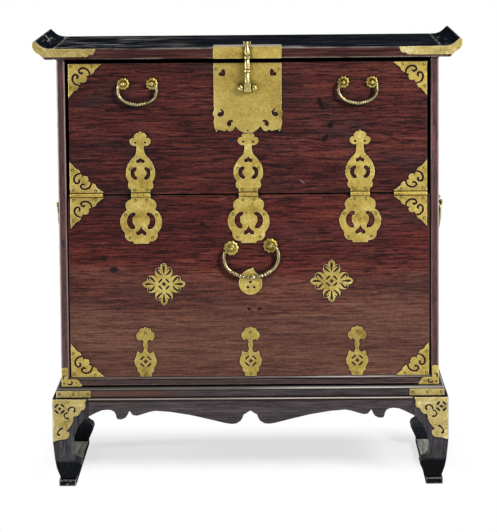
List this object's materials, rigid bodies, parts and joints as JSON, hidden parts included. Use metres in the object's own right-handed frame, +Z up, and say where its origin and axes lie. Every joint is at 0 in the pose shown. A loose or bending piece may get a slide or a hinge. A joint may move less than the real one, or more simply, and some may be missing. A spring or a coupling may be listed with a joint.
{
  "type": "fall-front chest",
  "caption": "Wooden blanket chest whose upper front half falls forward on strap hinges, with a hasp, drop handles and pierced brass mounts, on a low stand with scalloped aprons and curved legs.",
  "frame": {"origin": "on the floor under the centre of the bounding box", "axes": "+Z up, +X to the right as seen from the front, front faces -Y"},
  "size_m": [0.8496, 0.4264, 0.8977],
  "materials": {
    "lacquered_wood": "red-brown lacquer over open grain",
    "stand_wood": "dark brown lacquer",
    "black_lacquer": "worn black lacquer",
    "brass": "aged satin"
  },
  "bodies": {
    "case": {"apron_back": "stand_wood", "apron_front": "stand_wood", "apron_left": "stand_wood", "apron_right": "stand_wood", "back_panel": "lacquered_wood", "bottom_board": "lacquered_wood", "edge_mount_lower_left": "brass", "edge_mount_lower_right": "brass", "foot_mount_left": "brass", "foot_mount_right": "brass", "hasp_plate": "brass", "hinge_lower_centre": "brass", "hinge_lower_left": "brass", "hinge_lower_right": "brass", "leg_back_left": "stand_wood", "leg_back_right": "stand_wood", "leg_front_left": "stand_wood", "leg_front_right": "stand_wood", "leg_mount_left": "brass", "leg_mount_right": "brass", "lower_front": "lacquered_wood", "peach_plate": "brass", "post_lower_a": "brass", "post_lower_b": "brass", "post_side_left_a": "brass", "post_side_left_b": "brass", "post_side_right_a": "brass", "post_side_right_b": "brass", "runner_left": "black_lacquer", "runner_right": "black_lacquer", "side_board_left": "lacquered_wood", "side_board_right": "lacquered_wood", "sill": "lacquered_wood", "stop_rail": "lacquered_wood", "top_board": "black_lacquer", "top_end_left": "black_lacquer", "top_end_right": "black_lacquer", "waist_board": "stand_wood"},
    "fall_front": {"corner_mount_left": "brass", "corner_mount_right": "brass", "edge_mount_upper_left": "brass", "edge_mount_upper_right": "brass", "eye_staple_left": "brass", "eye_staple_right": "brass", "fall_front_panel": "lacquered_wood", "hinge_upper_centre": "brass", "hinge_upper_left": "brass", "hinge_upper_right": "brass", "lock_plate": "brass", "post_door_left_a": "brass", "post_door_left_b": "brass", "post_door_right_a": "brass", "post_door_right_b": "brass"},
    "bail_door_left": {"bail_door_left": "brass"},
    "bail_door_right": {"bail_door_right": "brass"},
    "bail_lower": {"bail_lower": "brass"},
    "bail_side_left": {"bail_side_left": "brass"},
    "bail_side_right": {"bail_side_right": "brass"},
    "hasp": {"hasp": "brass"}
  },
  "joints": [
    {"name": "fall_front_hinge", "type": "hinge", "parent": "case", "child": "fall_front", "pos_m": [0, -0.19275, 0.5888], "axis": [1, 0, 0], "range_deg": [0, 165]},
    {"name": "hasp_pivot", "type": "hinge", "parent": "case", "child": "hasp", "pos_m": [0, -0.20725, 0.8902], "axis": [1, 0, 0], "range_deg": [-150, 0]},
    {"name": "bail_door_left_pivot", "type": "hinge", "parent": "fall_front", "child": "bail_door_left", "pos_m": [-0.2178, -0.20105, 0.8107], "axis": [1, 0, 0], "range_deg": [-150, 0]},
    {"name": "bail_door_right_pivot", "type": "hinge", "parent": "fall_front", "child": "bail_door_right", "pos_m": [0.2178, -0.20105, 0.8107], "axis": [1, 0, 0], "range_deg": [-150, 0]},
    {"name": "bail_lower_pivot", "type": "hinge", "parent": "case", "child": "bail_lower", "pos_m": [0.0037, -0.20105, 0.4828], "axis": [0.9983, 0, 0.0576], "range_deg": [-150, 0]},
    {"name": "bail_side_left_pivot", "type": "hinge", "parent": "case", "child": "bail_side_left", "pos_m": [-0.3913, 0.00275, 0.5523], "axis": [0, 1, 0], "range_deg": [0, 150]},
    {"name": "bail_side_right_pivot", "type": "hinge", "parent": "case", "child": "bail_side_right", "pos_m": [0.3913, 0.00275, 0.5523], "axis": [0, 1, 0], "range_deg": [-150, 0]}
  ]
}
